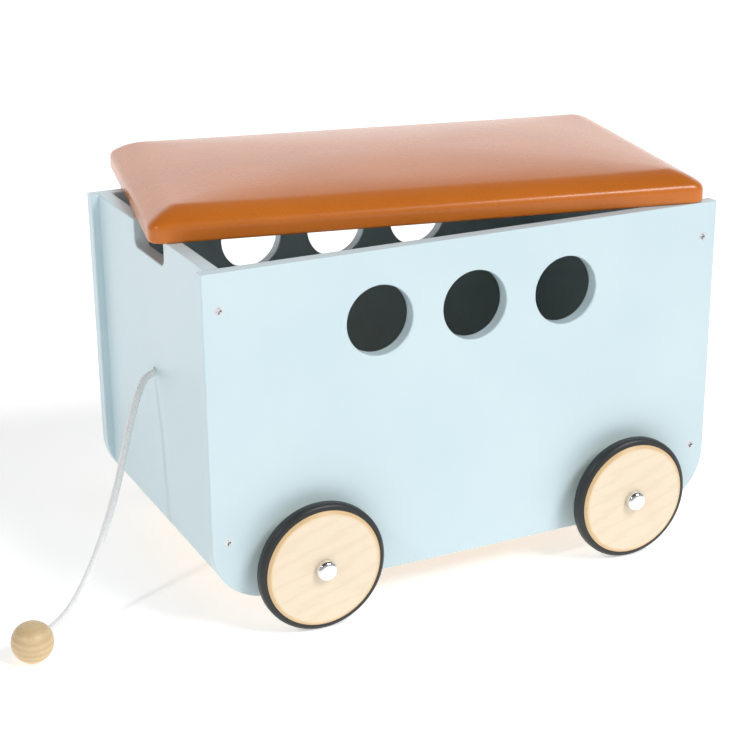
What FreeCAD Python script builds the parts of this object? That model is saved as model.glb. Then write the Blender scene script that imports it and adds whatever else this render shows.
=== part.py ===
import FreeCAD, Part
import math
import os
import re
import Sketcher

Vector = FreeCAD.Vector
OUTWARD_Y = Vector(0, 1, 0)
UPRIGHT = Vector(0, 0, 1)

# A wooden toy chest on four wheels, in millimetres. X runs along the chest, Y across it with
# the pierced front panel at -Y, and Z up. The origin is on the ground under its middle.

document = FreeCAD.newDocument("ToyChest")


# --- sizes -------------------------------------------------------------------------------

SIZES = {
    # the carcass
    "ChestLength": 580.0,
    "ChestWidth": 346.0,
    "PanelHeight": 342.0,
    "BoardThickness": 15.0,
    "EndInset": 9.0,             # the end panels stand back from the side panels' ends
    "CornerRadius": 60.0,        # the side panels' lower corners
    "EdgeRadius": 1.5,           # sanded edges
    "PanelBottom": 37.5,         # the side panels' lower edge, above the ground
    "PortholeRadius": 36.0,
    "PortholeSpacing": 106.0,
    "PortholeDrop": 72.0,        # from the top edge to the centres
    "NotchWidth": 90.0,          # finger grips in the end panels' top edges
    "NotchDepth": 28.0,
    "NotchRadius": 10.0,
    "FloorThickness": 9.0,
    "FloorClearance": 0.5,
    "BattenWidth": 20.0,
    "BattenHeight": 22.0,
    "BattenOverhang": 49.0,      # past each axle
    "AxleToFloor": 7.0,          # from the axle's centre line up to the floor's underside
    "EndDrop": 8.5,              # the end panels reach this far below the floor
    # the screws
    "ScrewRadius": 2.5,
    "ScrewHeadRadius": 5.0,
    "ScrewLength": 45.0,
    "ScrewDropTop": 37.0,
    "ScrewRise": 38.0,           # the lower screws, above the end panels' lower edges
    "FloorScrewRadius": 1.75,
    "FloorScrewHeadRadius": 3.5,
    "FloorScrewLength": 20.0,
    "FloorScrewInset": 35.0,     # from the battens' ends
    # the wheels
    "WheelSpread": 365.0,        # between the two axles
    "TyreRadius": 68.0,
    "TyreWidth": 14.0,
    "TyreRounding": 5.0,
    "TyreBand": 6.5,             # the tyre that shows round the disc
    "DiscThickness": 20.0,
    "DiscLand": 0.4,             # between a rim's bevel and the tyre
    "GrooveDepth": 3.0,
    "AxleRadius": 4.0,
    "AxleClearance": 0.05,       # radial, in the wheel's bore
    "SidePlay": 0.3,             # along the axle, on each face of the wheel
    "SpacerRadius": 11.0,
    "SpacerThickness": 8.0,
    "CapRadius": 11.0,
    "CapHeight": 8.0,
    "CapWall": 2.5,
    "CapDome": 5.0,
    # the pull cord
    "CordRadius": 3.5,
    "CordHoleRadius": 4.2,
    "CordDrop": 151.0,           # from the top edge to the hole
    "KnotRadius": 8.5,
    "KnotSeat": 5.0,             # from the panel's inner face to the knot's middle
    "BallRadius": 21.0,
    "BallBoreClearance": 0.25,
    # the lid
    "LidOverhang": 3.0,          # past each end of the chest, when it lies straight
    "LidCorner": 14.0,
    "LidShiftX": 23.0,
    "LidShiftY": 53.0,
    "LidAngle": 11.6,            # clockwise from above
    "LidBoardThickness": 12.0,
    "CoverThickness": 1.2,
    "CoverEdgeHeight": 19.0,     # the upright part of the padded edge
    "CoverSlopeWidth": 28.0,
    "CoverSlopeHeight": 13.0,
    "CoverCrown": 9.0,
    "CoverCrownInset": 68.0,     # from the sloping band to the crown's flat
    "CoverTurnUnder": 28.0,
}

PLACES = {
    "PanelTop": "=PanelBottom + PanelHeight",
    "HalfLength": "=ChestLength / 2",
    "HalfWidth": "=ChestWidth / 2",
    "InnerWidth": "=ChestWidth - 2 * BoardThickness",
    "EndOuter": "=ChestLength / 2 - EndInset",
    "EndInner": "=ChestLength / 2 - EndInset - BoardThickness",
    "FloorBottom": "=TyreRadius + AxleToFloor",
    "EndBottom": "=TyreRadius + AxleToFloor - EndDrop",
    "EndHeight": "=PanelBottom + PanelHeight - EndBottom",
    "ScrewDropBottom": "=EndHeight - ScrewRise",
    "BattenLength": "=WheelSpread + 2 * BattenOverhang",
    "FloorScrewSpacing": "=WheelSpread / 2 + BattenOverhang - FloorScrewInset",
    "DiscRadius": "=TyreRadius - TyreBand",
    "DiscBevel": "=(DiscThickness - TyreWidth) / 2 - DiscLand",
    "WheelBack": "=ChestWidth / 2 + SpacerThickness + SidePlay",
    "CapSeat": "=ChestWidth / 2 + SpacerThickness + 2 * SidePlay + DiscThickness",
    "CordHeight": "=PanelBottom + PanelHeight - CordDrop",
    "LidLength": "=ChestLength + 2 * LidOverhang",
    "LidWidth": "=ChestWidth",
}

sheet = document.addObject("Spreadsheet::Sheet", "Sizes")
for row, (alias, number) in enumerate(SIZES.items(), start=1):
    sheet.set("A%d" % row, alias)
    sheet.set("B%d" % row, str(number))
    sheet.setAlias("B%d" % row, alias)

places = document.addObject("Spreadsheet::Sheet", "Places")


def qualified(text):
    """A formula with each size and place named by its sheet."""
    def owner(match):
        word = match.group(0)
        if word in SIZES:
            return "Sizes." + word
        if word in PLACES:
            return "Places." + word
        return word
    return re.sub(r"[A-Za-z]+", owner, text)


for row, (alias, formula) in enumerate(PLACES.items(), start=1):
    places.set("A%d" % row, alias)
    places.set("B%d" % row, qualified(formula))
    places.setAlias("B%d" % row, alias)
document.recompute()


def size(alias):
    """The current number in either sheet."""
    source = sheet if alias in SIZES else places
    return float(source.get(alias))


def bind(item, **formulas):
    """Bind properties of an object to the sheets; Base_x means Placement.Base.x."""
    for name, formula in formulas.items():
        path = name.replace("Base_", "Placement.Base.")
        item.setExpression(path, qualified(formula))
    return item


# --- makers ------------------------------------------------------------------------------

def box(name, length, width, height, x, y, z):
    item = document.addObject("Part::Box", name)
    return bind(item, Length=length, Width=width, Height=height, Base_x=x, Base_y=y, Base_z=z)


def cylinder(name, radius, height, x, y, z, along):
    item = document.addObject("Part::Cylinder", name)
    item.Placement.Rotation = FreeCAD.Rotation(UPRIGHT, along)
    return bind(item, Radius=radius, Height=height, Base_x=x, Base_y=y, Base_z=z)


def cut(label, base, tools):
    """The base with every tool taken out of it."""
    joined = tools[0]
    if len(tools) > 1:
        joined = document.addObject("Part::MultiFuse", label + "_tools")
        joined.Shapes = tools
    item = document.addObject("Part::Cut", label)
    item.Base = base
    item.Tool = joined
    return item


def new_body(label):
    body = document.addObject("PartDesign::Body", label)
    body.Label = label
    return body


def sketch_on(body, role):
    """An empty sketch on one of the body's own origin planes."""
    sketch = body.newObject("Sketcher::SketchObject", body.Name + "_outline")
    plane = [item for item in body.Origin.OriginFeatures if item.Role == role][0]
    sketch.AttachmentSupport = [(plane, "")]
    sketch.MapMode = "FlatFace"
    return sketch


def hold(sketch, kind, geometry, point, formula):
    """Hold a point at a distance from the sketch's origin, along X or Y."""
    value = getattr(sketch.getPoint(geometry, point), "x" if kind == "DistanceX" else "y")
    if formula == "0":
        axis = -2 if kind == "DistanceX" else -1
        sketch.addConstraint(Sketcher.Constraint("PointOnObject", geometry, point, axis))
        return
    index = sketch.addConstraint(Sketcher.Constraint(kind, -1, 1, geometry, point, value))
    sketch.setExpression("Constraints[%d]" % index, qualified(formula))


def closed_outline(sketch, corners):
    """A closed outline of straight lines; each corner is (formula, formula, guess, guess)."""
    points = [Vector(corner[2], corner[3], 0) for corner in corners]
    for start, end in zip(points, points[1:] + points[:1]):
        sketch.addGeometry(Part.LineSegment(start, end), False)
    count = len(points)
    for index in range(count):
        following = (index + 1) % count
        sketch.addConstraint(Sketcher.Constraint("Coincident", index, 2, following, 1))
    for index, corner in enumerate(corners):
        hold(sketch, "DistanceX", index, 1, corner[0])
        hold(sketch, "DistanceY", index, 1, corner[1])


def circle(sketch, across, up, radius, guess):
    """A circle whose centre is held from the sketch's origin; guess is (x, y, r)."""
    shape = Part.Circle(Vector(guess[0], guess[1], 0), UPRIGHT, guess[2])
    index = sketch.addGeometry(shape, False)
    hold(sketch, "DistanceX", index, 3, across)
    hold(sketch, "DistanceY", index, 3, up)
    rim = sketch.addConstraint(Sketcher.Constraint("Radius", index, guess[2]))
    sketch.setExpression("Constraints[%d]" % rim, qualified(radius))


def pad(body, sketch, length):
    feature = body.newObject("PartDesign::Pad", body.Name + "_pad")
    feature.Profile = sketch
    bind(feature, Length=length)
    document.recompute()
    return feature


def rounded(body, feature, radius, wanted):
    """Fillet the feature's edges for which wanted(edge) holds."""
    names = ["Edge%d" % number for number, edge in enumerate(feature.Shape.Edges, start=1)
             if wanted(edge)]
    fillet = body.newObject("PartDesign::Fillet", body.Name + "_fillet")
    fillet.Base = (feature, names)
    bind(fillet, Radius=radius)
    body.Tip = fillet
    document.recompute()
    return fillet


def pocket_through(body, sketch):
    """Cut the sketch's outlines right through, both ways from its plane."""
    before = body.Shape.Volume
    feature = body.newObject("PartDesign::Pocket", body.Name + "_pocket")
    feature.Profile = sketch
    feature.Type = "ThroughAll"
    feature.SideType = "Symmetric"
    body.Tip = feature
    document.recompute()
    if not body.Shape.Volume < before:
        raise RuntimeError("the pocket in " + body.Label + " cuts nothing")
    return feature


def turned(label, corners):
    """A turned piece: corners are (along, radius) formulas with guesses, about its own Y axis."""
    body = new_body(label)
    sketch = sketch_on(body, "YZ_Plane")
    closed_outline(sketch, corners)
    feature = body.newObject("PartDesign::Revolution", label + "_turning")
    feature.Profile = sketch
    feature.ReferenceAxis = (sketch, ["H_Axis"])
    feature.Angle = 360.0
    document.recompute()
    return body, feature


def is_straight(edge):
    return isinstance(edge.Curve, (Part.Line, Part.LineSegment))


def runs_along(edge, axis):
    """Whether a straight edge is parallel to the axis."""
    if not is_straight(edge):
        return False
    return abs(edge.Curve.Direction.dot(axis)) > 0.999


# --- carcass -----------------------------------------------------------------------------

def side_panel(label, outer_y):
    """A long panel with three portholes, large lower corners, axle holes and screw holes.

    In the body's own frame the panel's lower left corner is the origin.
    """
    body = new_body(label)
    sketch = sketch_on(body, "XZ_Plane")
    length, height = size("ChestLength"), size("PanelHeight")
    closed_outline(sketch, [
        ("0", "0", 0, 0),
        ("ChestLength", "0", length, 0),
        ("ChestLength", "PanelHeight", length, height),
        ("0", "PanelHeight", 0, height)])
    for step in (-1, 0, 1):
        circle(sketch, "ChestLength / 2 + %d * PortholeSpacing" % step,
               "PanelHeight - PortholeDrop", "PortholeRadius",
               (length / 2 + step * size("PortholeSpacing"), height - size("PortholeDrop"),
                size("PortholeRadius")))
    plate = pad(body, sketch, "BoardThickness")

    def lower_corner(edge):
        return runs_along(edge, OUTWARD_Y) and edge.CenterOfMass.z < 1.0

    shaped = rounded(body, plate, "CornerRadius", lower_corner)

    def on_a_face(edge):
        return edge.BoundBox.YLength < 1e-3

    rounded(body, shaped, "EdgeRadius", on_a_face)

    holes = sketch_on(body, "XZ_Plane")
    axle_up = "TyreRadius - PanelBottom"
    for step in (-1, 1):
        circle(holes, "ChestLength / 2 + %d * WheelSpread / 2" % step, axle_up, "AxleRadius",
               (length / 2 + step * size("WheelSpread") / 2,
                size("TyreRadius") - size("PanelBottom"), size("AxleRadius")))
    pocket_through(body, holes)

    screws = sketch_on(body, "XZ_Plane")
    from_end = size("EndInset") + size("BoardThickness") / 2
    for across, guess in (("EndInset + BoardThickness / 2", from_end),
                          ("ChestLength - EndInset - BoardThickness / 2", length - from_end)):
        for drop in ("ScrewDropTop", "ScrewDropBottom"):
            circle(screws, across, "PanelHeight - " + drop, "ScrewRadius",
                   (guess, height - size(drop), size("ScrewRadius")))
    drilled = pocket_through(body, screws)

    outer_local = -size("BoardThickness") if outer_y < 0 else 0.0

    def screw_mouth(edge):
        if not isinstance(edge.Curve, Part.Circle):
            return False
        same_radius = abs(edge.Curve.Radius - size("ScrewRadius")) < 1e-3
        return same_radius and abs(edge.CenterOfMass.y - outer_local) < 1e-3

    names = ["Edge%d" % number for number, edge in enumerate(drilled.Shape.Edges, start=1)
             if screw_mouth(edge)]
    sink = body.newObject("PartDesign::Chamfer", label + "_countersink")
    sink.Base = (drilled, names)
    bind(sink, Size="ScrewHeadRadius - ScrewRadius")
    body.Tip = sink
    across_y = "BoardThickness - HalfWidth" if outer_y < 0 else "HalfWidth"
    bind(body, Base_x="-HalfLength", Base_y=across_y, Base_z="PanelBottom")
    document.recompute()
    return body


def end_panel(label, side):
    """A short panel between the side panels, with a finger notch; the left one has the cord hole.

    In the body's own frame its lower front corner is the origin.
    """
    body = new_body(label)
    sketch = sketch_on(body, "YZ_Plane")
    wide, high = size("InnerWidth"), size("EndHeight")
    notch, deep = size("NotchWidth"), size("NotchDepth")
    near, far = "InnerWidth / 2 - NotchWidth / 2", "InnerWidth / 2 + NotchWidth / 2"
    closed_outline(sketch, [
        ("0", "0", 0, 0),
        ("InnerWidth", "0", wide, 0),
        ("InnerWidth", "EndHeight", wide, high),
        (far, "EndHeight", (wide + notch) / 2, high),
        (far, "EndHeight - NotchDepth", (wide + notch) / 2, high - deep),
        (near, "EndHeight - NotchDepth", (wide - notch) / 2, high - deep),
        (near, "EndHeight", (wide - notch) / 2, high),
        ("0", "EndHeight", 0, high)])
    plate = pad(body, sketch, "BoardThickness")

    def notch_corner(edge):
        deep_enough = abs(edge.CenterOfMass.z - (high - deep)) < 1e-3
        return runs_along(edge, Vector(1, 0, 0)) and deep_enough

    shaped = rounded(body, plate, "NotchRadius", notch_corner)

    def top_or_notch(edge):
        middle = edge.CenterOfMass
        on_face = edge.BoundBox.XLength < 1e-3
        inside = 1.0 < middle.y < wide - 1.0
        return on_face and inside and middle.z > 1.0

    rounded(body, shaped, "EdgeRadius", top_or_notch)
    if side < 0:
        hole = sketch_on(body, "YZ_Plane")
        circle(hole, "InnerWidth / 2", "EndHeight - CordDrop", "CordHoleRadius",
               (wide / 2, high - size("CordDrop"), size("CordHoleRadius")))
        pocket_through(body, hole)
    start = "-EndOuter" if side < 0 else "EndInner"
    bind(body, Base_x=start, Base_y="-InnerWidth / 2", Base_z="EndBottom")

    tools = []
    for across in (-1, 1):
        for drop in ("ScrewDropTop", "ScrewDropBottom"):
            seat = "%d * (HalfWidth - ScrewLength)" % across
            tools.append(cylinder(
                label + "_screw_hole", "ScrewRadius", "ScrewLength",
                "%d * (EndOuter - BoardThickness / 2)" % side, seat, "PanelTop - " + drop,
                Vector(0, across, 0)))
    drilled = cut(label + "_drilled", body, tools)
    body.Label = label + "_blank"
    drilled.Label = label
    return drilled


def floor_and_battens():
    """The plywood floor, and the two battens under it that the axles pass through."""
    floor = box("floor_blank", "2 * EndInner - 2 * FloorClearance",
                "InnerWidth - 2 * FloorClearance", "FloorThickness",
                "FloorClearance - EndInner", "FloorClearance - InnerWidth / 2", "FloorBottom")
    floor_tools = []
    battens = []
    for side, label in ((-1, "front_batten"), (1, "back_batten")):
        y = "-InnerWidth / 2" if side < 0 else "InnerWidth / 2 - BattenWidth"
        blank = box(label + "_blank", "BattenLength", "BattenWidth", "BattenHeight",
                    "-BattenLength / 2", y, "FloorBottom - BattenHeight")
        tools = []
        for step in (-1, 1):
            tools.append(cylinder(label + "_axle_hole", "AxleRadius", "BattenWidth",
                                  "%d * WheelSpread / 2" % step, y, "TyreRadius", OUTWARD_Y))
        for step in (-1, 0, 1):
            across = "%d * (InnerWidth / 2 - BattenWidth / 2)" % side
            along = "%d * FloorScrewSpacing" % step
            head = "FloorBottom + FloorThickness"
            floor_tools.append(cylinder(
                "floor_screw_hole", "FloorScrewRadius", "FloorThickness", along, across,
                "FloorBottom", UPRIGHT))
            sink = document.addObject("Part::Cone", "floor_countersink")
            bind(sink, Radius1="FloorScrewRadius", Radius2="FloorScrewHeadRadius",
                 Height="FloorScrewHeadRadius - FloorScrewRadius", Base_x=along, Base_y=across,
                 Base_z=head + " - FloorScrewHeadRadius + FloorScrewRadius")
            floor_tools.append(sink)
            tools.append(cylinder(
                label + "_screw_hole", "FloorScrewRadius", "FloorScrewLength", along, across,
                head + " - FloorScrewLength", UPRIGHT))
        batten = cut(label, blank, tools)
        battens.append(batten)
    return [cut("floor_panel", floor, floor_tools)] + battens


SLOT_SHARE = 0.22       # the recess's arms: half their width, and their reach, of the head
REACH_SHARE = 0.62


def screw_shape(shank, head, length):
    """One countersunk screw, tip at the origin and head along +Y, with a cross recess."""
    cone = head - shank
    profile = [Vector(0, 0, 0), Vector(0, 0, shank), Vector(0, length - cone, shank),
               Vector(0, length, head), Vector(0, length, 0), Vector(0, 0, 0)]
    screw = Part.Face(Part.makePolygon(profile)).revolve(Vector(0, 0, 0), OUTWARD_Y, 360)
    if screw.Volume < 0:
        screw.reverse()
    slot = head * SLOT_SHARE
    reach = head * REACH_SHARE
    for wide, tall in ((slot, reach), (reach, slot)):
        corner = Vector(-wide, length - cone, -tall)
        screw = screw.cut(Part.makeBox(2 * wide, cone + 1, 2 * tall, corner))
    return screw


def screw_group(label, spots, shape):
    """Identical screws as separate solids of one node; spots are (position, head direction)."""
    solids = []
    for position, towards in spots:
        copy = shape.copy()
        copy.Placement = FreeCAD.Placement(position, FreeCAD.Rotation(OUTWARD_Y, towards))
        solids.append(copy)
    group = document.addObject("Part::Feature", label)
    group.Shape = Part.makeCompound(solids)
    return group


def panel_screws(label, side):
    middle = size("EndOuter") - size("BoardThickness") / 2
    tip = side * (size("HalfWidth") - size("ScrewLength"))
    spots = []
    for x in (-middle, middle):
        for drop in (size("ScrewDropTop"), size("ScrewDropBottom")):
            spots.append((Vector(x, tip, size("PanelTop") - drop), Vector(0, side, 0)))
    shape = screw_shape(size("ScrewRadius"), size("ScrewHeadRadius"), size("ScrewLength"))
    return screw_group(label, spots, shape)


def floor_screws():
    spots = []
    tip = size("FloorBottom") + size("FloorThickness") - size("FloorScrewLength")
    for side in (-1, 1):
        for step in (-1, 0, 1):
            y = side * (size("InnerWidth") - size("BattenWidth")) / 2
            spots.append((Vector(step * size("FloorScrewSpacing"), y, tip), UPRIGHT))
    shape = screw_shape(size("FloorScrewRadius"), size("FloorScrewHeadRadius"),
                        size("FloorScrewLength"))
    return screw_group("floor_screws", spots, shape)


# --- running gear ------------------------------------------------------------------------

def axle(label, step):
    """A steel rod right across the chest, held tight in the panels and battens."""
    x = "%d * WheelSpread / 2" % step
    return cylinder(label, "AxleRadius", "2 * (CapSeat + CapHeight - CapWall)", x,
                    "-CapSeat - CapHeight + CapWall", "TyreRadius", OUTWARD_Y)


def set_on_axle(body, step, side, distance):
    """Put a turned piece on an axle, its own +Y pointing away from the chest."""
    body.Placement.Rotation = FreeCAD.Rotation(UPRIGHT, 0 if side > 0 else 180)
    bind(body, Base_x="%d * WheelSpread / 2" % step, Base_y="%d * (%s)" % (side, distance),
         Base_z="TyreRadius")


def spacer(label):
    wide, bore, rim = size("SpacerThickness"), size("AxleRadius"), size("SpacerRadius")
    return turned(label, [
        ("0", "AxleRadius", 0, bore),
        ("SpacerThickness", "AxleRadius", wide, bore),
        ("SpacerThickness", "SpacerRadius", wide, rim),
        ("0", "SpacerRadius", 0, rim)])[0]


def wheel_disc(label):
    """A turned wooden disc with bevelled rims and a groove that the tyre sits in."""
    bore = size("AxleRadius") + size("AxleClearance")
    wide, rim, bevel = size("DiscThickness"), size("DiscRadius"), size("DiscBevel")
    bed = rim - size("GrooveDepth")
    first, last = (wide - size("TyreWidth")) / 2, (wide + size("TyreWidth")) / 2
    bore_text = "AxleRadius + AxleClearance"
    bed_text = "DiscRadius - GrooveDepth"
    first_text = "(DiscThickness - TyreWidth) / 2"
    last_text = "(DiscThickness + TyreWidth) / 2"
    return turned(label, [
        ("0", bore_text, 0, bore),
        ("DiscThickness", bore_text, wide, bore),
        ("DiscThickness", "DiscRadius - DiscBevel", wide, rim - bevel),
        ("DiscThickness - DiscBevel", "DiscRadius", wide - bevel, rim),
        (last_text, "DiscRadius", last, rim),
        (last_text, bed_text, last, bed),
        (first_text, bed_text, first, bed),
        (first_text, "DiscRadius", first, rim),
        ("DiscBevel", "DiscRadius", bevel, rim),
        ("0", "DiscRadius - DiscBevel", 0, rim - bevel)])[0]


def tyre(label):
    """A rubber band in the disc's groove, rounded on its outside."""
    first, last = (size("DiscThickness") - size("TyreWidth")) / 2, size("TyreWidth")
    bed, rim = size("DiscRadius") - size("GrooveDepth"), size("TyreRadius")
    last += first
    first_text = "(DiscThickness - TyreWidth) / 2"
    last_text = "(DiscThickness + TyreWidth) / 2"
    body, ring = turned(label, [
        (first_text, "DiscRadius - GrooveDepth", first, bed),
        (last_text, "DiscRadius - GrooveDepth", last, bed),
        (last_text, "TyreRadius", last, rim),
        (first_text, "TyreRadius", first, rim)])

    def tread_edge(edge):
        return isinstance(edge.Curve, Part.Circle) and abs(edge.Curve.Radius - rim) < 1e-3

    rounded(body, ring, "TyreRounding", tread_edge)
    return body


def hub_cap(label):
    """A domed cap pushed onto the axle's end."""
    bore, rim = size("AxleRadius"), size("CapRadius")
    tall, wall = size("CapHeight"), size("CapWall")
    body, blank = turned(label, [
        ("0", "AxleRadius", 0, bore),
        ("CapHeight - CapWall", "AxleRadius", tall - wall, bore),
        ("CapHeight - CapWall", "0", tall - wall, 0),
        ("CapHeight", "0", tall, 0),
        ("CapHeight", "CapRadius", tall, rim),
        ("0", "CapRadius", 0, rim)])

    def outer_rim(edge):
        circular = isinstance(edge.Curve, Part.Circle)
        return circular and edge.Curve.Radius > bore and edge.CenterOfMass.y > tall - 1e-3

    rounded(body, blank, "CapDome", outer_rim)
    return body


def running_gear():
    pieces = []
    for step, end in ((-1, "left"), (1, "right")):
        pieces.append(axle(end + "_axle", step))
        for side, face in ((-1, "front"), (1, "back")):
            corner = "_%s_%s" % (face, end)
            for maker, name, distance in (
                    (spacer, "wheel_spacer", "HalfWidth"),
                    (wheel_disc, "wheel_disc", "WheelBack"),
                    (tyre, "tyre", "WheelBack"),
                    (hub_cap, "hub_cap", "CapSeat")):
                body = maker(name + corner)
                set_on_axle(body, step, side, distance)
                pieces.append(body)
    return pieces


# --- pull cord ---------------------------------------------------------------------------

# The cord's route as it hangs from the left end panel to the ball on the ground: each point is
# (outwards from the end panel's outer face, towards the back, height above the ball's middle).
# The first lies at the panel's inner face and the last inside the ball. The heights suit a hole
# CORD_FALL above the ball's middle, and stretch or shrink with the real one.
CORD_ROUTE = [(-15, 0, 207.5), (8, 0, 207.5), (25, -16, 192), (41, -29, 160),
              (59, -41.5, 111), (78.5, -55, 71), (100, -70.5, 38), (124, -87.5, 13),
              (150, -105.8, 0), (176.8, -124.7, 0)]
CORD_FALL = 207.5
BALL_MIDDLE = (181.6, -128.1)
REACH_OF_BENDS = 0.45   # how much of the shorter of its two runs a bend may use


def cord_points():
    """The route in the chest's frame; its two ends follow the panel's inner face and the hole."""
    outer = size("EndOuter")
    low = size("BallRadius")
    stretch = (size("CordHeight") - low) / CORD_FALL
    points = [Vector(-outer - out, across, low + height * stretch)
              for out, across, height in CORD_ROUTE]
    points[0] = Vector(-size("EndInner"), 0, size("CordHeight"))
    points[1] = Vector(points[1].x, 0, size("CordHeight"))
    return points


def cord_path(points):
    """Straight runs joined by tangent arcs, each as large as its two runs allow."""
    edges = []
    radii = []
    start = points[0]
    for before, corner, after in zip(points, points[1:], points[2:]):
        arriving = (corner - before).normalize()
        leaving = (after - corner).normalize()
        turn = arriving.getAngle(leaving)
        reach = REACH_OF_BENDS * min((corner - before).Length, (after - corner).Length)
        radius = reach / math.tan(turn / 2)
        radii.append(radius)
        bend_start = corner - arriving * reach
        bend_end = corner + leaving * reach
        towards = (leaving - arriving).normalize()
        centre = corner + towards * (radius / math.cos(turn / 2))
        middle = centre - towards * radius
        edges.append(Part.LineSegment(start, bend_start).toShape())
        edges.append(Part.Arc(bend_start, middle, bend_end).toShape())
        start = bend_end
    edges.append(Part.LineSegment(start, points[-1]).toShape())
    return Part.Wire(edges), radii


def pull_cord():
    points = cord_points()
    path, radii = cord_path(points)
    direction = (points[1] - points[0]).normalize()
    ring = Part.Circle(points[0], direction, size("CordRadius")).toShape()
    tube = path.makePipeShell([Part.Wire([ring])], True, False)
    if tube.Volume < 0:
        tube.reverse()
    expected = math.pi * size("CordRadius") ** 2 * path.Length
    print("cord: length %.1f mm, volume %.1f against %.1f" % (path.Length, tube.Volume, expected))
    print("cord: bend radii " + ", ".join("%.0f" % radius for radius in radii))
    if abs(tube.Volume - expected) > 0.01 * expected:
        raise RuntimeError("the cord's tube isn't whole")
    item = document.addObject("Part::Feature", "pull_cord")
    item.Shape = tube
    return item


def cord_knot():
    """The knot that keeps the cord in its hole, flattened against the panel's inner face."""
    ball = document.addObject("Part::Sphere", "knot_ball")
    bind(ball, Radius="KnotRadius", Base_x="KnotSeat - EndInner", Base_z="CordHeight")
    panel = box("knot_trim", "4 * KnotRadius", "4 * KnotRadius", "4 * KnotRadius",
                "-EndInner - 4 * KnotRadius", "-2 * KnotRadius", "CordHeight - 2 * KnotRadius")
    return cut("cord_knot", ball, [panel])


def pull_ball():
    """A wooden ball with a blind bore that the cord is glued into."""
    points = cord_points()
    heading = (points[-1] - points[-2]).normalize()
    outer = size("EndOuter")
    middle = Vector(-outer - BALL_MIDDLE[0], BALL_MIDDLE[1], size("BallRadius"))
    ball = document.addObject("Part::Sphere", "ball_blank")
    ball.Placement.Base = middle
    bind(ball, Radius="BallRadius")
    bore = document.addObject("Part::Cylinder", "ball_bore")
    bore.Placement = FreeCAD.Placement(points[-1], FreeCAD.Rotation(UPRIGHT, heading * -1))
    bind(bore, Radius="CordRadius + BallBoreClearance", Height="2 * BallRadius")
    return cut("pull_ball", ball, [bore])


# --- lid ---------------------------------------------------------------------------------

def rounded_outline(length, width, corner, height):
    """A flat rounded rectangle about the lid's own middle."""
    x, y = length / 2, width / 2
    skew = corner * (1 - math.sqrt(0.5))
    edges = []
    for sx, sy in ((1, 1), (-1, 1), (-1, -1), (1, -1)):
        first = Vector(sx * x, sy * (y - corner), height)
        middle = Vector(sx * (x - skew), sy * (y - skew), height)
        last = Vector(sx * (x - corner), sy * y, height)
        if sx * sy < 0:
            first, last = last, first
        edges.append((first, middle, last))
    pieces = []
    for index, (first, middle, last) in enumerate(edges):
        pieces.append(Part.Arc(first, middle, last).toShape())
        following = edges[(index + 1) % 4][0]
        pieces.append(Part.LineSegment(last, following).toShape())
    return Part.Wire(pieces)


def slab(length, width, corner, low, high):
    face = Part.Face(rounded_outline(length, width, corner, low))
    return face.extrude(Vector(0, 0, high - low))


def padded_form(inset, low):
    """The cushion's outside, moved in by inset: an upright edge, a sloping band and a top."""
    length, width = size("LidLength") - 2 * inset, size("LidWidth") - 2 * inset
    corner = size("LidCorner") - inset
    shoulder = size("CoverEdgeHeight") - inset
    narrow = 2 * size("CoverSlopeWidth")
    flat = narrow + 2 * size("CoverCrownInset")
    top = size("CoverEdgeHeight") + size("CoverSlopeHeight") - inset
    crown = top + size("CoverCrown")
    body = slab(length, width, corner, low, shoulder)
    band = Part.makeLoft([
        rounded_outline(length, width, corner, shoulder),
        rounded_outline(length - narrow, width - narrow, corner, top)], True, True)
    dome = Part.makeLoft([
        rounded_outline(length - narrow, width - narrow, corner, top),
        rounded_outline(length - flat, width - flat, corner, crown)], True, True)
    return body.fuse([band, dome])


def lid_placement():
    turn = FreeCAD.Rotation(UPRIGHT, -size("LidAngle"))
    base = Vector(size("LidShiftX"), size("LidShiftY"), size("PanelTop"))
    return FreeCAD.Placement(base, turn)


def lid():
    """The loose lid: board, foam, cover and backing cloth, lying askew on the panels."""
    skin = size("CoverThickness")
    board_top = skin + size("LidBoardThickness")
    under = size("CoverTurnUnder")
    length, width = size("LidLength"), size("LidWidth")
    corner = size("LidCorner") - skin
    board = slab(length - 2 * skin, width - 2 * skin, corner, skin, board_top)
    foam = padded_form(skin, board_top)
    backing = slab(length - 2 * under, width - 2 * under, corner, 0, skin)
    cover = padded_form(0, 0).cut(foam.fuse([board])).cut(backing)
    pieces = []
    for label, shape in (("lid_board", board), ("seat_foam", foam), ("seat_cover", cover),
                         ("lid_backing", backing)):
        item = document.addObject("Part::Feature", label)
        item.Shape = shape.removeSplitter()
        item.Placement = lid_placement()
        pieces.append(item)
    return pieces


# --- assembly ----------------------------------------------------------------------------

def check(piece):
    """Stop if an object failed, or its shape is empty or broken."""
    shape = piece.Shape
    if shape.isNull() or not shape.isValid() or not shape.Solids:
        raise RuntimeError(piece.Label + " has no valid solid")
    for solid in shape.Solids:
        if solid.Volume <= 0:
            raise RuntimeError(piece.Label + " has a solid with no volume")


pieces = [side_panel("front_panel", -1), side_panel("back_panel", 1),
          end_panel("left_end_panel", -1), end_panel("right_end_panel", 1)]
pieces += floor_and_battens()
pieces += [panel_screws("front_screws", -1), panel_screws("back_screws", 1), floor_screws()]
pieces += running_gear()
pieces += [pull_cord(), cord_knot(), pull_ball()]
pieces += lid()
document.recompute()

for item in document.Objects:
    if "Invalid" in item.State or "Error" in item.State:
        raise RuntimeError(item.Label + " failed")
for piece in pieces:
    check(piece)

os.makedirs("parts", exist_ok=True)
for piece in pieces:
    piece.Shape.exportStep(os.path.join("parts", piece.Label + ".step"))
    print("%-26s %2d solid(s) %12.1f mm3" % (piece.Label, len(piece.Shape.Solids),
                                             piece.Shape.Volume))
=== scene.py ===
import math
import random

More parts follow.
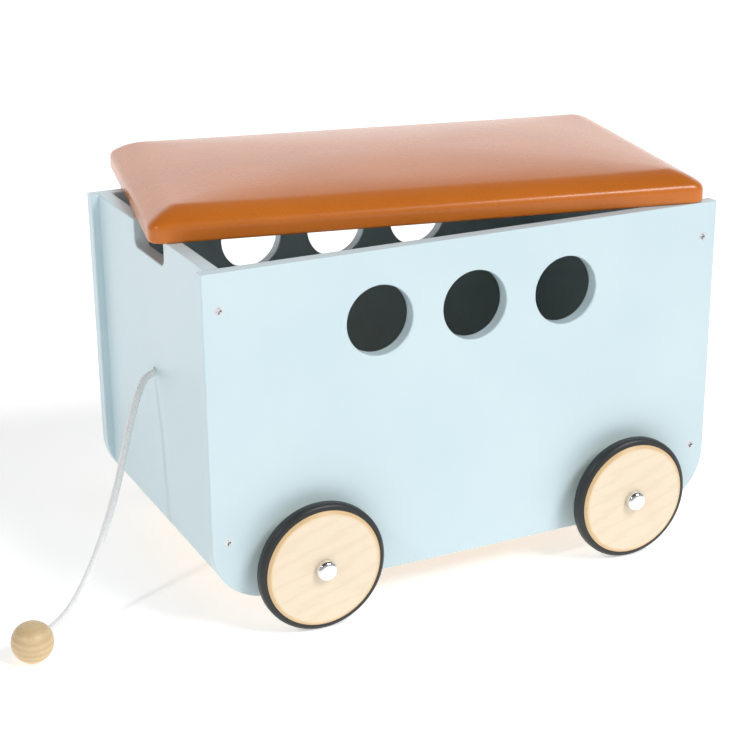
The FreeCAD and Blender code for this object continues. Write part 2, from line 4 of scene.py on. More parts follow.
import bmesh
import bpy
from mathutils import Matrix, Vector


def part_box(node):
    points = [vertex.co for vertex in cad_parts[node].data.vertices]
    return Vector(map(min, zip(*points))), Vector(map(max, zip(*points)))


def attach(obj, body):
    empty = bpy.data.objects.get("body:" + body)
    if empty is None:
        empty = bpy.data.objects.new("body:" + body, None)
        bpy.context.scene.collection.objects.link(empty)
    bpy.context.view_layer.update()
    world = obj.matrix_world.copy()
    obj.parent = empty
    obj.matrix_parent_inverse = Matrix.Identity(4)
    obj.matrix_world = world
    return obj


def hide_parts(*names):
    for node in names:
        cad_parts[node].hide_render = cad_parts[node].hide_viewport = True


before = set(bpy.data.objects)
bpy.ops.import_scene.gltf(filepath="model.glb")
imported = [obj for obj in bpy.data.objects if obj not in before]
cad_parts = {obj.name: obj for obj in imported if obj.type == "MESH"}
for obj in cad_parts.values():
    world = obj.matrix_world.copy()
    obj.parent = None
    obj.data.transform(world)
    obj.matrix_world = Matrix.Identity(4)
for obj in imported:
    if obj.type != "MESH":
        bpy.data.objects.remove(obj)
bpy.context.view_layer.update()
print("frame loaded:", len(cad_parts), "nodes")

# The toy chest's looks, built round its frame. Metres, +Z up, ground at z = 0.

cameraView = {
    "position": (-0.8223, -1.6320, 0.8533),
    "turn": 25.940,      # degrees clockwise from +Y, seen from above
    "tip": 20.332,       # degrees down
    "roll": -0.489,
    "lens": 84.37,
}


def makeCamera(spec):
    turn, tip = math.radians(spec["turn"]), math.radians(spec["tip"])
    ahead = Vector((math.sin(turn) * math.cos(tip), math.cos(turn) * math.cos(tip),
                    -math.sin(tip)))
    camera = bpy.data.objects.new("studioCamera", bpy.data.cameras.new("studioCamera"))
    camera.data.lens = spec["lens"]
    camera.data.sensor_width = 36
    aim = ahead.to_track_quat("-Z", "Y").to_matrix().to_4x4()
    level = Matrix.Rotation(math.radians(spec["roll"]), 4, "Z")
    camera.matrix_world = Matrix.Translation(spec["position"]) @ aim @ level
    bpy.context.collection.objects.link(camera)
    bpy.context.scene.camera = camera


makeCamera(cameraView)


# materials: every finish is a small node tree

def newMaterial(name):
    material = bpy.data.materials.new(name)
    material.use_nodes = True
    tree = material.node_tree
    shader = tree.nodes["Principled BSDF"]
    return material, tree, shader


def setShader(shader, **values):
    for name, value in values.items():
        socket = shader.inputs[name.replace("_", " ")]
        socket.default_value = (*value, 1.0) if isinstance(value, tuple) else value


def place(tree, scale=(1, 1, 1), turn=(0, 0, 0)):
    # texture space in the object's own metres
    coords = tree.nodes.new("ShaderNodeTexCoord")
    mapping = tree.nodes.new("ShaderNodeMapping")
    mapping.inputs["Scale"].default_value = scale
    mapping.inputs["Rotation"].default_value = turn
    tree.links.new(coords.outputs["Object"], mapping.inputs["Vector"])
    return mapping.outputs["Vector"]


def feed(tree, value, socket):
    # a link where the value comes from a node, else a fixed number or colour
    if hasattr(value, "is_output"):
        tree.links.new(value, socket)
    else:
        socket.default_value = (*value, 1.0) if isinstance(value, tuple) else value


def noiseTexture(tree, vector, scale, detail=4.0, roughness=0.5, distortion=0.0):
    node = tree.nodes.new("ShaderNodeTexNoise")
    node.inputs["Scale"].default_value = scale
    node.inputs["Detail"].default_value = detail
    node.inputs["Roughness"].default_value = roughness
    node.inputs["Distortion"].default_value = distortion
    tree.links.new(vector, node.inputs["Vector"])
    return node.outputs["Fac"]


def ramp(tree, factor, stops):
    node = tree.nodes.new("ShaderNodeValToRGB")
    elements = node.color_ramp.elements
    while len(elements) < len(stops):
        elements.new(0.5)
    for element, (position, colour) in zip(elements, stops):
        element.position = position
        element.color = (*colour, 1.0)
    tree.links.new(factor, node.inputs["Fac"])
    return node.outputs["Color"]


def mixColours(tree, factor, first, second, blend="MIX"):
    node = tree.nodes.new("ShaderNodeMix")
    node.data_type = "RGBA"
    node.blend_type = blend
    feed(tree, factor, node.inputs[0])
    feed(tree, first, node.inputs[6])
    feed(tree, second, node.inputs[7])
    return node.outputs[2]


def maths(tree, operation, first, second=0.0):
    node = tree.nodes.new("ShaderNodeMath")
    node.operation = operation
    feed(tree, first, node.inputs[0])
    feed(tree, second, node.inputs[1])
    return node.outputs[0]


def spreadRange(tree, value, low, high):
    node = tree.nodes.new("ShaderNodeMapRange")
    node.inputs["To Min"].default_value = low
    node.inputs["To Max"].default_value = high
    tree.links.new(value, node.inputs["Value"])
    return node.outputs["Result"]


def addBump(tree, shader, height, strength, distance):
    node = tree.nodes.new("ShaderNodeBump")
    node.inputs["Strength"].default_value = strength
    node.inputs["Distance"].default_value = distance
    tree.links.new(height, node.inputs["Height"])
    tree.links.new(node.outputs["Normal"], shader.inputs["Normal"])


paint = {
    "colour": (0.605, 0.745, 0.790),
    "shade": (0.575, 0.720, 0.768),
    "gloss": (0.34, 0.44),
    "orangePeel": 420,       # per metre
}


def makePaint(spec):
    material, tree, shader = newMaterial("paleBlueLacquer")
    vector = place(tree)
    clouds = noiseTexture(tree, vector, 7, 3)
    colour = ramp(tree, clouds, [(0.3, spec["shade"]), (0.7, spec["colour"])])
    tree.links.new(colour, shader.inputs["Base Color"])
    wear = noiseTexture(tree, vector, 60, 3)
    tree.links.new(spreadRange(tree, wear, *spec["gloss"]), shader.inputs["Roughness"])
    setShader(shader, Coat_Weight=0.25, Coat_Roughness=0.28, Specular_IOR_Level=0.45)
    addBump(tree, shader, noiseTexture(tree, vector, spec["orangePeel"], 3), 0.08, 0.0004)
    return material


# figure and pores are the grain's scales, and stretch draws it out along the fibres
timber = {
    "disc": {"name": "wheelWood", "light": (0.830, 0.705, 0.535), "dark": (0.805, 0.672, 0.495),
             "gloss": 0.38, "stretch": (1, 1, 7), "figure": 7, "pores": 110, "slant": 70,
             "rim": (0.740, 0.470, 0.190), "rimFrom": 0.915, "rimFull": 0.965,
             "rimStrength": 0.75},
    "ball": {"name": "ballWood", "light": (0.720, 0.545, 0.315), "dark": (0.655, 0.475, 0.255),
             "gloss": 0.42, "stretch": (1, 1, 3), "figure": 14, "pores": 300},
    "plywood": {"name": "floorPlywood", "light": (0.700, 0.540, 0.350),
                "dark": (0.600, 0.440, 0.265), "gloss": 0.6, "stretch": (1, 9, 9),
                "figure": 3.0, "pores": 40, "roll": 90},
    "softwood": {"name": "battenPine", "light": (0.700, 0.510, 0.310),
                 "dark": (0.570, 0.380, 0.200), "gloss": 0.62, "stretch": (1, 8, 8),
                 "figure": 7.0, "pores": 60},
    "board": {"name": "lidPlywood", "light": (0.700, 0.540, 0.350),
              "dark": (0.600, 0.440, 0.265), "gloss": 0.6, "stretch": (1, 9, 9),
              "figure": 3.5, "pores": 44},
}


def grainFields(tree, vector, wavy, fine):
    # long figure from a wave, and short pores from stretched noise
    figure = tree.nodes.new("ShaderNodeTexWave")
    figure.wave_type = "BANDS"
    figure.bands_direction = "Z"
    figure.inputs["Scale"].default_value = wavy
    figure.inputs["Distortion"].default_value = 5.5
    figure.inputs["Detail"].default_value = 3
    figure.inputs["Detail Scale"].default_value = 1.4
    tree.links.new(vector, figure.inputs["Vector"])
    pores = noiseTexture(tree, vector, fine, 6, 0.65)
    return figure.outputs["Fac"], pores


def makeTimber(spec):
    material, tree, shader = newMaterial(spec["name"])
    vector = place(tree, scale=spec["stretch"], turn=(math.radians(spec.get("roll", 0)), 0, 0))
    figure, pores = grainFields(tree, vector, spec["figure"], spec["pores"])
    base = ramp(tree, figure, [(0.15, spec["dark"]), (0.75, spec["light"])])
    dusk = tuple(value * 0.82 for value in spec["dark"])
    flecks = ramp(tree, pores, [(0.38, (1.0, 1.0, 1.0)), (0.62, (0.0, 0.0, 0.0))])
    colour = mixColours(tree, maths(tree, "MULTIPLY", flecks, 0.35), base, dusk)
    tree.links.new(colour, shader.inputs["Base Color"])
    gloss = spreadRange(tree, pores, spec["gloss"] - 0.06, spec["gloss"] + 0.1)
    tree.links.new(gloss, shader.inputs["Roughness"])
    addBump(tree, shader, pores, 0.12, 0.0004)
    return material


def makeDiscWood(spec):
    # pale face grain, browner on the sanded bevel at the rim
    material, tree, shader = newMaterial(spec["name"])
    vector = place(tree, scale=spec["stretch"], turn=(0, math.radians(spec["slant"]), 0))
    figure, pores = grainFields(tree, vector, spec["figure"], spec["pores"])
    face = ramp(tree, figure, [(0.05, spec["dark"]), (0.5, spec["light"])])
    local = tree.nodes.new("ShaderNodeTexCoord").outputs["Generated"]
    split = tree.nodes.new("ShaderNodeSeparateXYZ")
    tree.links.new(local, split.inputs["Vector"])
    across = maths(tree, "SUBTRACT", split.outputs["X"], 0.5)
    up = maths(tree, "SUBTRACT", split.outputs["Z"], 0.5)
    squared = maths(tree, "ADD", maths(tree, "MULTIPLY", across, across),
                    maths(tree, "MULTIPLY", up, up))
    radius = maths(tree, "SQRT", squared)
    edge = ramp(tree, maths(tree, "MULTIPLY", radius, 2.0),
                [(spec["rimFrom"], (0.0, 0.0, 0.0)), (spec["rimFull"], (1.0, 1.0, 1.0))])
    edge = maths(tree, "MULTIPLY", edge, spec["rimStrength"])
    colour = mixColours(tree, edge, face, spec["rim"])
    flecks = ramp(tree, pores, [(0.35, (1.0, 1.0, 1.0)), (0.55, (0.0, 0.0, 0.0))])
    dusk = tuple(value * 0.86 for value in spec["dark"])
    colour = mixColours(tree, maths(tree, "MULTIPLY", flecks, 0.14), colour, dusk)
    tree.links.new(colour, shader.inputs["Base Color"])
    gloss = spreadRange(tree, pores, spec["gloss"] - 0.06, spec["gloss"] + 0.1)
    tree.links.new(gloss, shader.inputs["Roughness"])
    setShader(shader, Coat_Weight=0.2, Coat_Roughness=0.25)
    addBump(tree, shader, pores, 0.10, 0.0003)
    return material


# metals, rubber and plastic; grain is per metre
plain = {
    "rubber": {"name": "blackRubber", "colour": (0.018, 0.020, 0.021), "metal": 0.0,
               "gloss": 0.42, "grain": 700, "bump": 0.1},
    "plastic": {"name": "blackPlastic", "colour": (0.020, 0.020, 0.022), "metal": 0.0,
                "gloss": 0.45, "grain": 900, "bump": 0.1},
    "chrome": {"name": "chromeCap", "colour": (0.86, 0.87, 0.89), "metal": 1.0,
               "gloss": 0.075, "grain": 300, "bump": 0.02},
    "zinc": {"name": "zincScrew", "colour": (0.70, 0.72, 0.74), "metal": 1.0,
             "gloss": 0.30, "grain": 1600, "bump": 0.12},
    "steel": {"name": "drawnSteel", "colour": (0.62, 0.63, 0.65), "metal": 1.0,
              "gloss": 0.26, "grain": 900, "bump": 0.12, "stretch": (1, 0.05, 1)},
}


def makePlain(spec):
    # a little mottling, uneven gloss and a fine bump
    material, tree, shader = newMaterial(spec["name"])
    vector = place(tree, scale=spec.get("stretch", (1, 1, 1)))
    colour, gloss, grain = spec["colour"], spec["gloss"], spec["grain"]
    mottle = noiseTexture(tree, vector, grain * 0.1, 3)
    darker = tuple(value * 0.88 for value in colour)
    tree.links.new(ramp(tree, mottle, [(0.35, darker), (0.65, colour)]),
                   shader.inputs["Base Color"])
    fine = noiseTexture(tree, vector, grain, 3)
    tree.links.new(spreadRange(tree, fine, gloss * 0.8, gloss * 1.25),
                   shader.inputs["Roughness"])
    setShader(shader, Metallic=spec["metal"])
    addBump(tree, shader, fine, spec["bump"], 0.0002)
    return material


leather = {
    "colour": (0.620, 0.172, 0.018),
    "shade": (0.550, 0.145, 0.014),
    "gloss": (0.25, 0.30),
    "cells": 1100,           # per metre
    "creaseTint": 0.05,
}


def makeLeather(spec):
    material, tree, shader = newMaterial("cognacLeatherette")
    vector = place(tree)
    clouds = noiseTexture(tree, vector, 9, 4)
    colour = ramp(tree, clouds, [(0.32, spec["shade"]), (0.66, spec["colour"])])
    cells = tree.nodes.new("ShaderNodeTexVoronoi")
    cells.feature = "SMOOTH_F1"
    cells.inputs["Scale"].default_value = spec["cells"]
    cells.inputs["Smoothness"].default_value = 0.6
    tree.links.new(vector, cells.inputs["Vector"])
    creases = ramp(tree, cells.outputs["Distance"],
                   [(0.0, (1.0, 1.0, 1.0)), (0.55, (0.0, 0.0, 0.0))])
    tint = maths(tree, "MULTIPLY", creases, spec["creaseTint"])
    colour = mixColours(tree, tint, colour, spec["shade"])
    tree.links.new(colour, shader.inputs["Base Color"])
    rub = noiseTexture(tree, vector, 35, 5)
    tree.links.new(spreadRange(tree, rub, *spec["gloss"]), shader.inputs["Roughness"])
    setShader(shader, Specular_IOR_Level=0.28, Coat_Weight=0.30, Coat_Roughness=0.11)
    addBump(tree, shader, creases, 0.03, 0.0002)
    return material


cloths = {
    "backing": {"name": "blackBackingCloth", "colour": (0.030, 0.030, 0.032),
                "fibres": 900, "bump": 0.5, "dulling": 0.72},
    "cotton": {"name": "whiteCotton", "colour": (0.940, 0.945, 0.940),
               "fibres": 1500, "bump": 0.35, "dulling": 0.88},
}


def makeCloth(spec):
    # felted or woven fibre
    material, tree, shader = newMaterial(spec["name"])
    vector = place(tree)
    fibres = noiseTexture(tree, vector, spec["fibres"], 6, 0.7, 1.2)
    colour = spec["colour"]
    darker = tuple(value * spec["dulling"] for value in colour)
    tree.links.new(ramp(tree, fibres, [(0.35, darker), (0.65, colour)]),
                   shader.inputs["Base Color"])
    setShader(shader, Roughness=0.9, Sheen_Weight=0.35, Sheen_Roughness=0.5)
    addBump(tree, shader, fibres, spec["bump"], 0.0006)
    return material


materials = {"paint": makePaint(paint), "disc": makeDiscWood(timber["disc"])}
for finish in ("ball", "plywood", "softwood", "board"):
    materials[finish] = makeTimber(timber[finish])
for finish in plain:
    materials[finish] = makePlain(plain[finish])
materials["leather"] = makeLeather(leather)
for finish in cloths:
    materials[finish] = makeCloth(cloths[finish])
print("materials made:", len(materials))


def addMesh(name, mesh, body, slot, *finishes):
    piece = bpy.data.objects.new(name, mesh)
    bpy.context.collection.objects.link(piece)
    for finish in finishes:
        mesh.materials.append(materials[finish])
    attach(piece, body)
    return piece


def smooth(mesh):
    mesh.polygons.foreach_set("use_smooth", [True] * len(mesh.polygons))
    return mesh


# pull cord: its route, then a round braid laid along it

pullCord = {
    "route": [(-0.266, 0.0, 0.2285), (-0.289, 0.0, 0.2285), (-0.306, -0.016, 0.213),
              (-0.322, -0.029, 0.181), (-0.340, -0.0415, 0.132), (-0.3595, -0.055, 0.092),
              (-0.3815, -0.0705, 0.059), (-0.405, -0.0875, 0.034), (-0.431, -0.1058, 0.021),
              (-0.4578, -0.1247, 0.021)],
    "exit": (-0.281, 0.0, 0.2285),
    "length": 0.335,
    "diameter": 0.007,
    "core": 0.0030,          # radius under the strands
    "strandsEachWay": 4,
    "pitch": 0.017,          # one strand's full turn
    "ring": 0.00300,         # the strands' middle radius
    "lift": 0.00032,         # how far a strand rises and dips where two cross
    "strandWidth": 0.00180,  # half of it
    "strandThickness": 0.00062,
    "step": 0.0008,          # between sections
}


def splineLine(name, route):
    curve = bpy.data.curves.new(name, "CURVE")
    curve.dimensions = "3D"
    curve.resolution_u = 24
    spline = curve.splines.new("NURBS")
    spline.points.add(len(route) - 1)
    for point, spot in zip(spline.points, route):
        point.co = (*spot, 1.0)
    spline.order_u = 3
    spline.use_endpoint_u = True
    holder = bpy.data.objects.new(name, curve)
    bpy.context.collection.objects.link(holder)
    bpy.context.view_layer.update()
    line = bpy.data.meshes.new_from_object(holder)
    points = [vertex.co.copy() for vertex in line.vertices]
    bpy.data.objects.remove(holder)
    bpy.data.meshes.remove(line)
    return points


def evenly(points, step):
    # the same line with its points a step apart, and the turning frame along it
    lengths = [0.0]
    for first, second in zip(points, points[1:]):
        lengths.append(lengths[-1] + (second - first).length)
    count = max(2, round(lengths[-1] / step))
    spots = []
    index = 0
    for number in range(count + 1):
        target = lengths[-1] * number / count
        while index < len(points) - 2 and lengths[index + 1] < target:
            index += 1
        span = max(lengths[index + 1] - lengths[index], 1e-9)
        share = (target - lengths[index]) / span
        spots.append(points[index].lerp(points[index + 1], share))
    frames = []
    side = None
    for number, spot in enumerate(spots):
        before, after = spots[max(number - 1, 0)], spots[min(number + 1, count)]
        along = (after - before).normalized()
        if side is None:
            side = along.orthogonal().normalized()
        side = (side - along * side.dot(along)).normalized()
        frames.append((spot, along, side, along.cross(side)))
    return frames, lengths[-1]


def tubeThrough(builder, centres, wides, thins, halfWide, halfThin, around=8):
    # a closed tube of oval section through the given centres
    rings = []
    for centre, wide, thin in zip(centres, wides, thins):
        ring = []
        for number in range(around):
            angle = 2 * math.pi * number / around
            offset = wide * (halfWide * math.cos(angle)) + thin * (halfThin * math.sin(angle))
            ring.append(builder.verts.new(centre + offset))
        rings.append(ring)
    for first, second in zip(rings, rings[1:]):
        for number in range(around):
            following = (number + 1) % around
            builder.faces.new((first[number], first[following], second[following],
                               second[number]))
    builder.faces.new(list(reversed(rings[0])))
    builder.faces.new(rings[-1])


def makeBraid(spec, frames, name):
    builder = bmesh.new()
    spots = [spot for spot, _, _, _ in frames]
    sides = [side for _, _, side, _ in frames]
    ups = [up for _, _, _, up in frames]
    tubeThrough(builder, spots, sides, ups, spec["core"], spec["core"], 16)
    rate = 2 * math.pi / spec["pitch"]
    strands = spec["strandsEachWay"]
    for direction in (1, -1):
        for strand in range(strands):
            centres, wides, thins = [], [], []
            for number, (spot, along, side, up) in enumerate(frames):
                travelled = number * spec["step"]
                angle = direction * rate * travelled + 2 * math.pi * strand / strands
                wave = math.cos(strands * rate * travelled)
                radius = spec["ring"] + direction * spec["lift"] * wave
                outward = side * math.cos(angle) + up * math.sin(angle)
                around = along.cross(outward) * direction
                heading = (along + around * (rate * radius)).normalized()
                centres.append(spot + outward * radius)
                wides.append(heading.cross(outward).normalized())
                thins.append(outward)
            tubeThrough(builder, centres, wides, thins, spec["strandWidth"],
                        spec["strandThickness"], 8)
    bmesh.ops.recalc_face_normals(builder, faces=builder.faces)
    mesh = bpy.data.meshes.new(name)
    builder.to_mesh(mesh)
    builder.free()
    return smooth(mesh)


def makePullCord(spec):
    route = splineLine("cordRoute", spec["route"])
    frames, length = evenly(route, spec["step"])
    print("pull cord length: %.4f m" % length)
    piece = addMesh("pullCord", makeBraid(spec, frames, "pullCord"), "chest", "cord_cotton",
                    "cotton")
    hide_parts("pull_cord")
    return piece


makePullCord(pullCord)


# the knot inside the chest: an overhand knot, drawn as a closed trefoil loop

cordKnot = {
    "size": 0.001736,        # one unit of the trefoil's curve
    "strand": 0.0031,        # radius
    "sections": 96,
    "squash": 0.8,           # depth against width
}


def makeCordKnot(spec):
    low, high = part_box("cord_knot")
    middle = (low + high) / 2
    builder = bmesh.new()
    centres = []
    for number in range(spec["sections"]):
        angle = 2 * math.pi * number / spec["sections"]
        across = math.sin(angle) + 2 * math.sin(2 * angle)
        up = math.cos(angle) - 2 * math.cos(2 * angle)
        deep = -math.sin(3 * angle) * spec["squash"]
        centres.append(middle + Vector((deep, across, up)) * spec["size"])
    centres.append(centres[0])
    wides, thins = [], []
    side = None
    for number, centre in enumerate(centres):
        before = centres[number - 1] if number else centres[-2]
        after = centres[number + 1] if number < len(centres) - 1 else centres[1]
        along = (after - before).normalized()
        side = along.orthogonal() if side is None else side - along * side.dot(along)
        side.normalize()
        wides.append(side.copy())
        thins.append(along.cross(side))
    tubeThrough(builder, centres, wides, thins, spec["strand"], spec["strand"], 12)
    mesh = bpy.data.meshes.new("cordKnot")
    builder.to_mesh(mesh)
    builder.free()
    piece = addMesh("cordKnot", smooth(mesh), "chest", "cord_cotton", "cotton")
    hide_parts("cord_knot")


makeCordKnot(cordKnot)
print("cord and knot made")


# lid: a padded seat, its cover drawn over foam and stapled under the board

seatCushion = {
    "length": 0.586,
    "width": 0.346,
    "corner": 0.014,
    "angle": -11.6,         # degrees, anticlockwise
    "wall": 0.0126,         # the upright part of the edge
    "shoulder": 0.0190,      # where the edge and the sloping band would meet
    "shoulderRadius": 0.010,
    "bandWidth": 0.028,
    "bandTop": 0.0318,
    "crown": 0.0085,
    "turnUnder": 0.028,
    "sideSteps": (96, 58),  # along the long and the short sides
    "pressure": 1.6,
    "stretch": 25,          # the cloth's stiffness each way
    "shear": 10,
    "bend": 3,
    "mass": 0.4,
    "frames": 20,
    "cap": 0.0045,          # how far the cloth may move from its cut shape
    "fill": 0.9,
}


def ringPoints(spec, inset, height):
    # points round a rounded rectangle, the same number at every inset
    x, y = spec["length"] / 2 - inset, spec["width"] / 2 - inset
    corner = max(spec["corner"] - inset * 0.25, 0.004)
    long, short = spec["sideSteps"]
    raw = [(-x + 2 * x * step / long, -y) for step in range(long)]
    raw += [(x, -y + 2 * y * step / short) for step in range(short)]
    raw += [(x - 2 * x * step / long, y) for step in range(long)]
    raw += [(-x, y - 2 * y * step / short) for step in range(short)]
    points = []
    for px, py in raw:
        nearX = max(-x + corner, min(x - corner, px))
        nearY = max(-y + corner, min(y - corner, py))
        away = Vector((px - nearX, py - nearY))
        if away.length > 1e-9:
            away = away.normalized() * corner
        points.append(Vector((nearX + away.x, nearY + away.y, height)))
    return points


def cushionProfile(spec):
    # (inset, height) from under the board, up the edge and over the sloping band
    wall, shoulder, radius = spec["wall"], spec["shoulder"], spec["shoulderRadius"]
    band, top = spec["bandWidth"], spec["bandTop"]
    profile = [(spec["turnUnder"], 0.0), (0.015, 0.0), (0.0075, 0.0), (0.0040, 0.0),
               (0.0022, 0.0001), (0.0012, 0.0004), (0.0005, 0.0010), (0.0001, 0.0022),
               (0.0, 0.0048), (0.0, wall * 0.7)]
    for degrees in (0, 12, 24, 36, 47, 57):
        turn = math.radians(degrees)
        profile.append((radius * (1 - math.cos(turn)), wall + radius * math.sin(turn)))
    for share in (0.26, 0.36, 0.46, 0.56, 0.66, 0.76, 0.86):
        bulge = 0.0012 * math.sin(math.pi * (share - 0.16) / 0.84)
        profile.append((band * share, shoulder + (top - shoulder) * share + bulge))
    profile += [(band * 0.92, top - 0.0006), (band * 1.0, top), (band * 1.09, top + 0.0004)]
    return profile


def fillRing(builder, spec, edge, crown):
    # a grid inside a ring, rising to the crown in the middle
    long, short = spec["sideSteps"]
    count = len(edge)
    height = edge[0].co.z
    x0 = max(vertex.co.x for vertex in edge)
    y0 = max(vertex.co.y for vertex in edge)
    grid = [[None] * (long + 1) for _ in range(short + 1)]
    for column in range(long + 1):
        grid[0][column] = edge[column]
        grid[short][column] = edge[(2 * long + short - column) % count]
    for row in range(short + 1):
        grid[row][long] = edge[long + row]
        grid[row][0] = edge[(count - row) % count]
    for row in range(1, short):
        for column in range(1, long):
            left, right = grid[row][0].co, grid[row][long].co
            front, back = grid[0][column].co, grid[short][column].co
            x = front.x + (back.x - front.x) * row / short
            y = left.y + (right.y - left.y) * column / long
            rise = crown * (1 - (abs(x) / x0) ** 2.6) * (1 - (abs(y) / y0) ** 2.6)
            grid[row][column] = builder.verts.new((x, y, height + rise))
    for row in range(short):
        for column in range(long):
            builder.faces.new((grid[row][column], grid[row][column + 1],
                               grid[row + 1][column + 1], grid[row + 1][column]))


def cushionMesh(spec):
    builder = bmesh.new()
    rings = []
    for inset, height in cushionProfile(spec):
        rings.append([builder.verts.new(point) for point in ringPoints(spec, inset, height)])
    count = len(rings[0])
    for lower, upper in zip(rings, rings[1:]):
        for number in range(count):
            following = (number + 1) % count
            builder.faces.new((lower[number], lower[following], upper[following],
                               upper[number]))
    fillRing(builder, spec, rings[-1], spec["crown"])
    fillRing(builder, spec, rings[0], 0.0)
    bmesh.ops.recalc_face_normals(builder, faces=builder.faces)
    mesh = bpy.data.meshes.new("seatCover")
    builder.to_mesh(mesh)
    builder.free()
    return smooth(mesh)


def inflate(spec, mesh):
    # the cover drawn tight over swelling foam: pinned underneath and up the edge's foot
    shell = bpy.data.objects.new("coverCloth", mesh.copy())
    bpy.context.collection.objects.link(shell)
    pins = shell.vertex_groups.new(name="held")
    start = [vertex.co.copy() for vertex in mesh.vertices]
    for vertex in mesh.vertices:
        rise = vertex.co.z / spec["wall"]
        pins.add([vertex.index], max(0.0, min(1.0, 1.25 - 0.42 * rise)), "REPLACE")
    cloth = shell.modifiers.new("Cloth", "CLOTH")
    settings = cloth.settings
    settings.quality = 5    # steps a frame
    settings.mass = spec["mass"]
    settings.tension_stiffness = settings.compression_stiffness = spec["stretch"]
    settings.shear_stiffness = spec["shear"]
    settings.bending_stiffness = spec["bend"]
    settings.use_pressure = True
    settings.uniform_pressure_force = spec["pressure"]
    settings.vertex_group_mass = "held"
    settings.effector_weights.gravity = 0
    scene = bpy.context.scene
    scene.frame_start, scene.frame_end = 1, spec["frames"]
    cloth.point_cache.frame_start, cloth.point_cache.frame_end = 1, spec["frames"]
    for number in range(1, spec["frames"] + 1):
        scene.frame_set(number)
    settled = shell.evaluated_get(bpy.context.evaluated_depsgraph_get())
    finish = [vertex.co.copy() for vertex in settled.data.vertices]
    moved = 0.0
    for vertex, before, after in zip(mesh.vertices, start, finish):
        shift = after - before
        if shift.length > spec["cap"]:
            shift = shift.normalized() * spec["cap"]
        vertex.co = before + shift
        vertex.co.z = max(vertex.co.z, before.z if before.z < 0.001 else 0.001)
        moved = max(moved, shift.length)
    scene.frame_set(1)
    bpy.data.objects.remove(shell)
    print("seat cover swelled by up to %.1f mm" % (moved * 1000))


def lidMatrix(spec):
    low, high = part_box("seat_cover")
    middle = (low + high) / 2
    return Matrix.Translation((middle.x, middle.y, low.z)) @ Matrix.Rotation(
        math.radians(spec["angle"]), 4, "Z")


def makeSeatCover(spec):
    mesh = cushionMesh(spec)
    inflate(spec, mesh)
    mesh.transform(lidMatrix(spec))
    piece = addMesh("seatCover", mesh, "lid", "seat_leather", "leather")
    rounding = piece.modifiers.new("rounding", "SUBSURF")
    rounding.levels = rounding.render_levels = 1
    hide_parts("seat_cover", "seat_foam")
    return piece


makeSeatCover(seatCushion)


# staples along the cover's turned-under edge

staples = {
    "inset": 0.021,          # from the lid's edge
    "margin": 0.020,         # kept free at each corner
    "spacing": 0.030,
    "width": 0.010,
    "wire": 0.0006,          # half its thickness
    "proud": 0.0004,
    "crooked": 0.25,         # radians, at most
}


def makeStaples(spec, cushion):
    builder = bmesh.new()
    x, y = cushion["length"] / 2 - spec["inset"], cushion["width"] / 2 - spec["inset"]
    shuffle = random.Random(7)
    for half, across, turned in ((x, y, False), (y, x, True)):
        reach = half - spec["margin"]
        count = int(2 * reach / spec["spacing"])
        for side in (-1, 1):
            for number in range(count + 1):
                along = reach * (2 * number / count - 1)
                crooked = shuffle.uniform(-spec["crooked"], spec["crooked"])
                tilt = Matrix.Rotation(crooked, 4, "Z")
                spot = Vector((along, side * across, 0))
                if turned:
                    spot = Vector((side * across, along, 0))
                    tilt = tilt @ Matrix.Rotation(math.pi / 2, 4, "Z")
                shape = bmesh.ops.create_cube(builder, size=1.0)["verts"]
                sized = Matrix.Diagonal((spec["width"], spec["wire"] * 2, spec["proud"] * 2, 1))
                bmesh.ops.transform(builder, matrix=Matrix.Translation(spot) @ tilt @ sized,
                                    verts=shape)
    bmesh.ops.bevel(builder, geom=builder.edges[:], offset=spec["proud"] * 0.4, segments=2,
                    affect="EDGES")
    mesh = bpy.data.meshes.new("coverStaples")
    builder.to_mesh(mesh)
    builder.free()
    mesh.transform(lidMatrix(cushion))
    addMesh("coverStaples", mesh, "lid", "screw_steel", "zinc")


makeStaples(staples, seatCushion)
print("lid made")


# finishes for the pieces that keep their own shape

finishes = {
    "front_panel": "paint",
    "back_panel": "paint",
    "left_end_panel": "paint",
    "right_end_panel": "paint",
    "floor_panel": "plywood",
    "front_batten": "softwood",
    "back_batten": "softwood",
    "front_screws": "zinc",
    "back_screws": "zinc",
    "floor_screws": "zinc",
    "left_axle": "steel",
    "right_axle": "steel",
    "pull_ball": "ball",
    "lid_board": "board",
    "lid_backing": "backing",
}
cornerFinishes = {"wheel_spacer": "plastic", "wheel_disc": "disc", "tyre": "rubber",
                  "hub_cap": "chrome"}
for face in ("front", "back"):
    for end in ("left", "right"):
        for piece, finish in cornerFinishes.items():
            finishes["%s_%s_%s" % (piece, face, end)] = finish


def finishNodes(chosen):
    for name, finish in chosen.items():
        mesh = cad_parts[name].data
        mesh.materials.clear()
        mesh.materials.append(materials[finish])


finishNodes(finishes)
print("finishes set:", len(finishes))


# a white floor, two soft suns and a sky that is brightest near the horizon behind

studio = {
    "floor": (0.93, 0.93, 0.93),
    "floorGlow": 0.46,
    "floorSize": 40.0,
    "skyLow": 1.30,          # near the horizon
    "skyHigh": 0.26,         # overhead
    "skyFront": 0.36,        # share of it away from the bright side
    "brightWay": (0.43, 0.90),
    "suns": [
        {"name": "leftSun", "from": (-1.0, -0.37, 0.92), "spread": 5, "power": 0.58},
        {"name": "frontSun", "from": (0.50, -0.80, 0.90), "spread": 24, "power": 1.72},
    ],
}


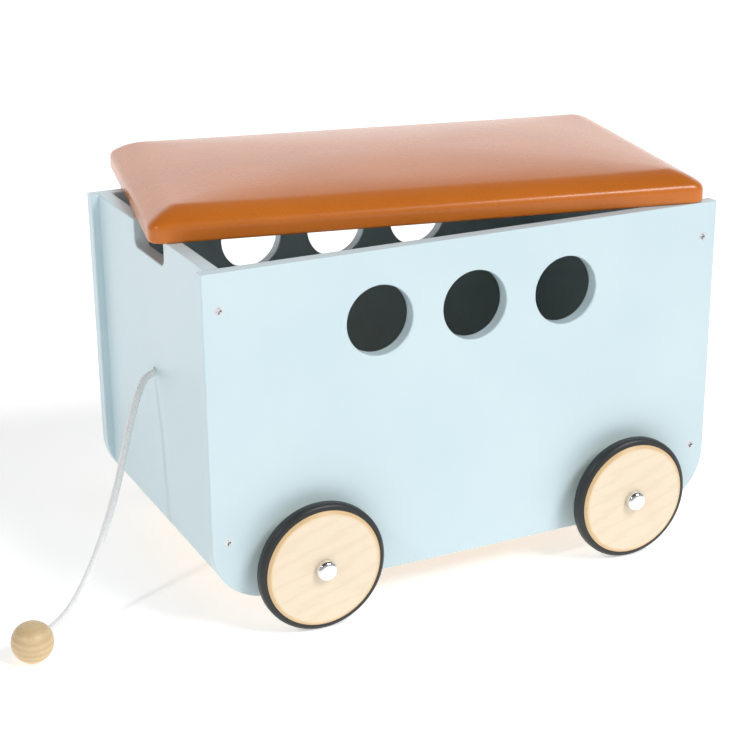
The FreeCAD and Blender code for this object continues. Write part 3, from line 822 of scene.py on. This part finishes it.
def makeSky(spec):
    world = bpy.data.worlds.new("studioWorld")
    world.use_nodes = True
    tree = world.node_tree
    background = tree.nodes["Background"]
    split = tree.nodes.new("ShaderNodeSeparateXYZ")
    coords = tree.nodes.new("ShaderNodeTexCoord")
    tree.links.new(coords.outputs["Generated"], split.inputs["Vector"])
    low, high, front = spec["skyLow"], spec["skyHigh"], spec["skyFront"]
    rise = ramp(tree, split.outputs["Z"], [(0.42, (low, low, low)), (0.70, (high, high, high))])
    sideways = maths(tree, "MULTIPLY", split.outputs["X"], spec["brightWay"][0])
    depth = maths(tree, "ADD", sideways,
                  maths(tree, "MULTIPLY", split.outputs["Y"], spec["brightWay"][1]))
    turn = ramp(tree, depth, [(0.30, (front, front, front)), (0.72, (1.0, 1.0, 1.0))])
    tree.links.new(mixColours(tree, 1.0, rise, turn, "MULTIPLY"), background.inputs["Color"])
    background.inputs["Strength"].default_value = 1.0
    bpy.context.scene.world = world


def makeStudio(spec):
    half = spec["floorSize"] / 2
    mesh = bpy.data.meshes.new("studioFloor")
    mesh.from_pydata([(-half, -half, 0), (half, -half, 0), (half, half, 0), (-half, half, 0)],
                     [], [(0, 1, 2, 3)])
    floor = bpy.data.objects.new("studioFloor", mesh)
    bpy.context.collection.objects.link(floor)
    material, tree, shader = newMaterial("paperFloor")
    setShader(shader, Base_Color=spec["floor"], Roughness=0.85, Specular_IOR_Level=0.15,
              Emission_Color=(1.0, 1.0, 1.0), Emission_Strength=spec["floorGlow"])
    # clear from underneath, so the chest's underside can be looked at
    clear = tree.nodes.new("ShaderNodeBsdfTransparent")
    either = tree.nodes.new("ShaderNodeMixShader")
    tree.links.new(tree.nodes.new("ShaderNodeNewGeometry").outputs["Backfacing"],
                   either.inputs["Fac"])
    tree.links.new(shader.outputs["BSDF"], either.inputs[1])
    tree.links.new(clear.outputs["BSDF"], either.inputs[2])
    tree.links.new(either.outputs["Shader"], tree.nodes["Material Output"].inputs["Surface"])
    mesh.materials.append(material)
    for sun in spec["suns"]:
        lamp = bpy.data.lights.new(sun["name"], "SUN")
        lamp.angle = math.radians(sun["spread"])
        lamp.energy = sun["power"]
        holder = bpy.data.objects.new(sun["name"], lamp)
        holder.rotation_euler = Vector(sun["from"]).to_track_quat("Z", "Y").to_euler()
        bpy.context.collection.objects.link(holder)


makeSky(studio)
makeStudio(studio)
bpy.context.scene.view_settings.view_transform = "Standard"
print("studio set")
